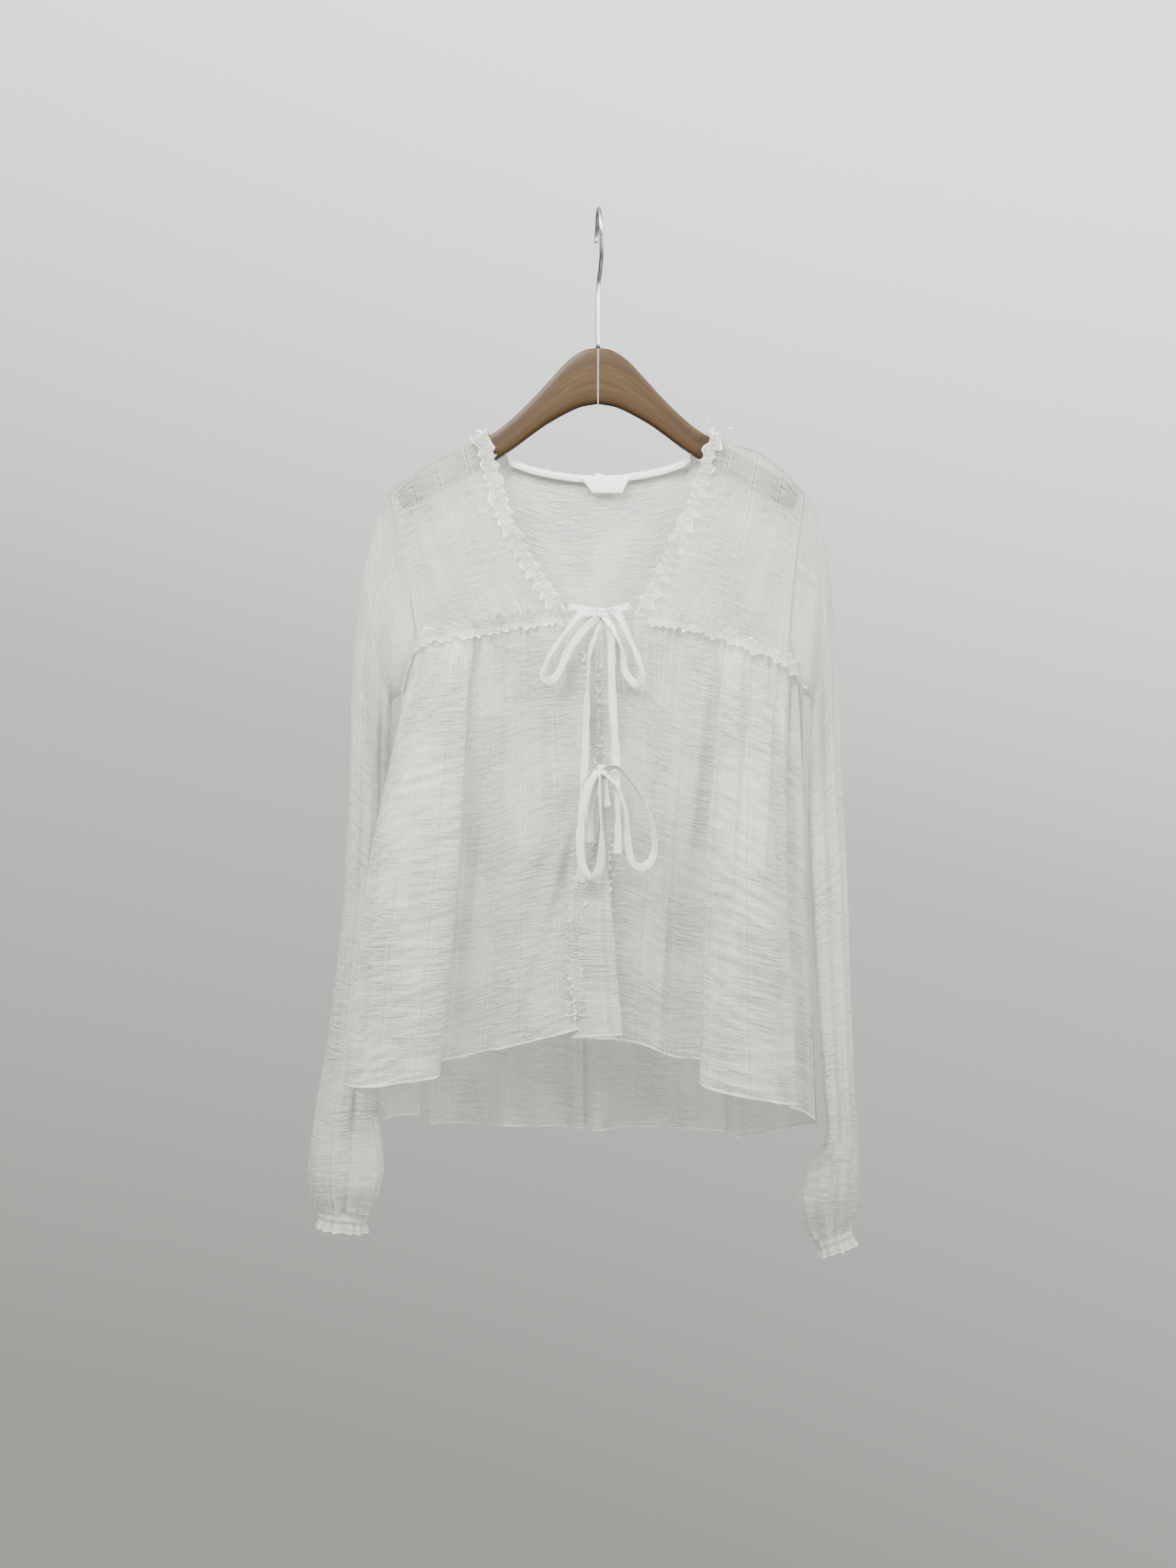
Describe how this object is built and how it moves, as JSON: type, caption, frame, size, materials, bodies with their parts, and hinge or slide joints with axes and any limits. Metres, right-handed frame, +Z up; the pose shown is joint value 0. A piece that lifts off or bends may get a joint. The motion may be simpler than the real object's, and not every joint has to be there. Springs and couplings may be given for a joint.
{
  "type": "frill blouse on a hanger",
  "caption": "Sheer off-white cotton blouse with frilled neckline and yoke seams, ribbon ties down the front and gathered skirt and cuffs, hung flat on a wooden hanger.",
  "frame": {"origin": "inside top of the hanger's hook, where it rests on a rail", "axes": "+Z up, +X to the right as seen from the blouse's front, +Y from the front towards the back"},
  "size_m": [0.5053, 0.1358, 0.9583],
  "materials": {
    "cotton": "matt, sheer, lightly crinkled",
    "tape": "matt",
    "beech": "satin",
    "hook_wire": "brushed"
  },
  "bodies": {
    "root": {"back_panel": "cotton", "yoke_left": "cotton", "yoke_right": "cotton", "front_left": "cotton", "front_right": "cotton", "sleeve_left": "cotton", "sleeve_right": "cotton", "cuff_left": "cotton", "cuff_right": "cotton", "neck_ruffle_left": "cotton", "neck_ruffle_back": "cotton", "neck_ruffle_right": "cotton", "yoke_ruffle_left": "cotton", "yoke_ruffle_right": "cotton", "edge_ruffle_left": "cotton", "edge_ruffle_right": "cotton", "knot_top": "cotton", "loop_top_left": "cotton", "loop_top_right": "cotton", "tail_top_left": "cotton", "tail_top_right": "cotton", "knot_low": "cotton", "loop_low_left": "cotton", "loop_low_right": "cotton", "tail_low_left": "cotton", "tail_low_right": "cotton", "neck_tie_left": "cotton", "neck_tie_right": "cotton", "neck_band": "tape", "neck_label": "tape", "hanger_arm_left": "beech", "hanger_arm_right": "beech", "hanger_hook": "hook_wire"}
  },
  "joints": []
}
